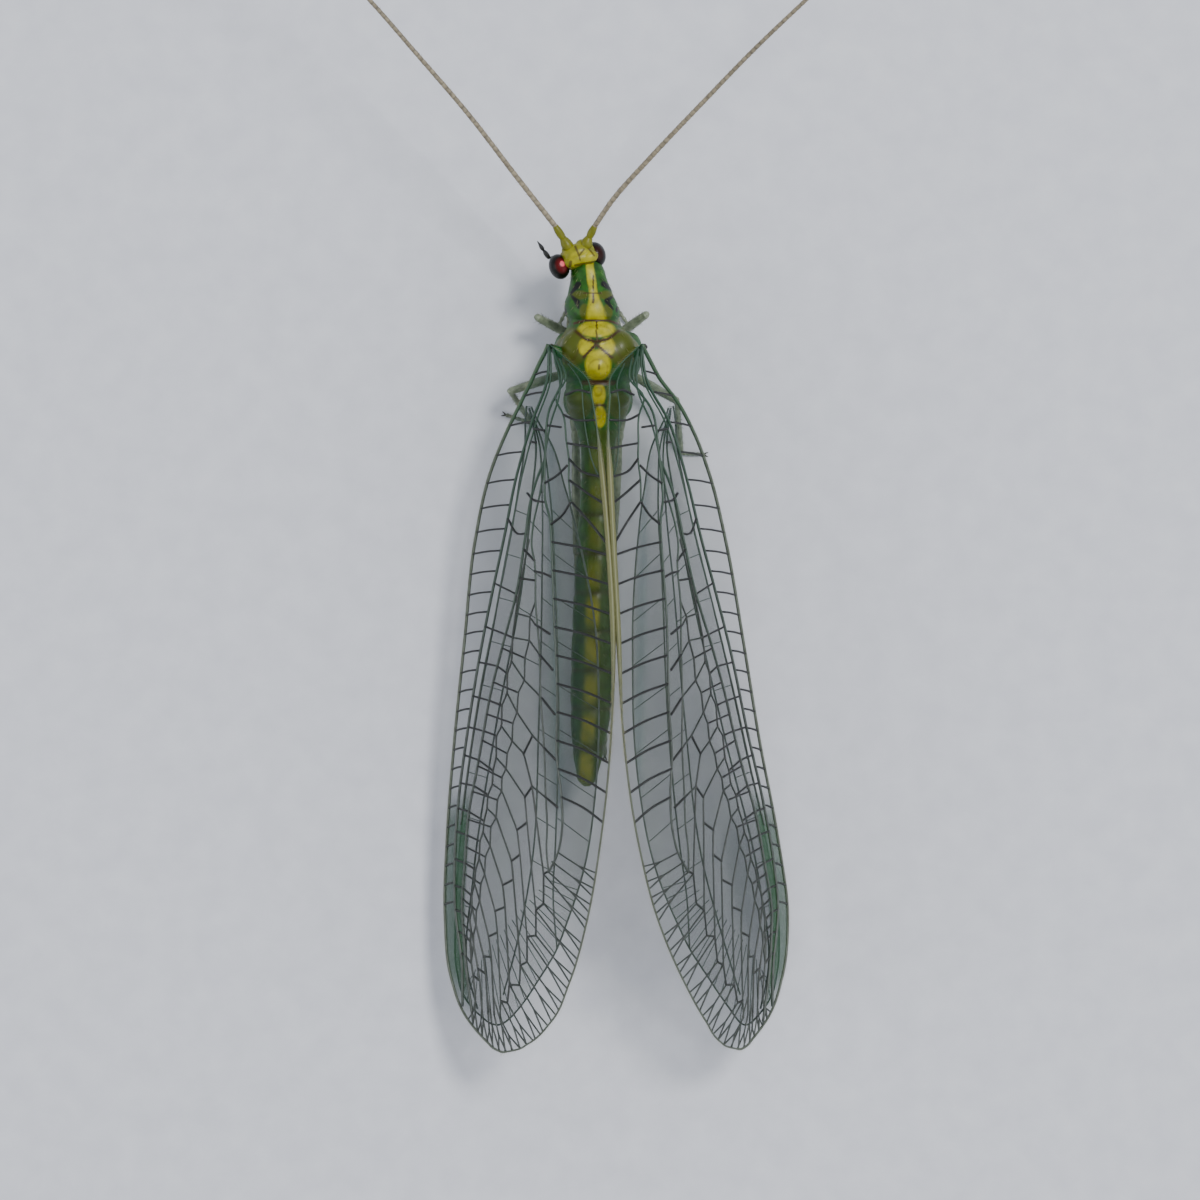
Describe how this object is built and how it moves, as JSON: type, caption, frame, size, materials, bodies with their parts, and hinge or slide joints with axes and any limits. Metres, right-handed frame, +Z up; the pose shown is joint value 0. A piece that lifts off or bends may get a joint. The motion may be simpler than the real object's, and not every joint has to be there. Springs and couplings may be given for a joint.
{
  "type": "green lacewing",
  "caption": "Still life-size green lacewing standing with its net-veined wings folded like a roof over its back and its long antennae spread forward.",
  "frame": {"origin": "middle of the footprint, on the floor that the feet stand on", "axes": "+Z up, the head faces -Y, +X is the animal's left"},
  "size_m": [0.0162, 0.0252, 0.0048],
  "materials": {
    "body_cuticle": "soft satin green cuticle with a yellow stripe down the back",
    "head_cuticle": "satin yellow-green cuticle",
    "eye": "glossy faceted dark red-brown",
    "antenna": "matt grey-brown, finely ringed and haired",
    "palp": "matt black-brown with pale joints",
    "leg": "satin pale grey-green with brown feet",
    "wing_membrane": "clear, very thin, slightly iridescent film",
    "vein": "dark green to black ridged veins with fine hairs"
  },
  "bodies": {
    "root": {"head": "head_cuticle", "mouthparts": "head_cuticle", "prothorax": "body_cuticle", "mesothorax": "body_cuticle", "metathorax": "body_cuticle", "abdomen": "body_cuticle", "eye_left": "eye", "antenna_left": "antenna", "palp_left": "palp", "forewing_left": "wing_membrane", "hindwing_left": "wing_membrane", "leg_front_left": "leg", "leg_middle_left": "leg", "leg_hind_left": "leg", "eye_right": "eye", "antenna_right": "antenna", "palp_right": "palp", "forewing_right": "wing_membrane", "hindwing_right": "wing_membrane", "leg_front_right": "leg", "leg_middle_right": "leg", "leg_hind_right": "leg"}
  },
  "joints": []
}
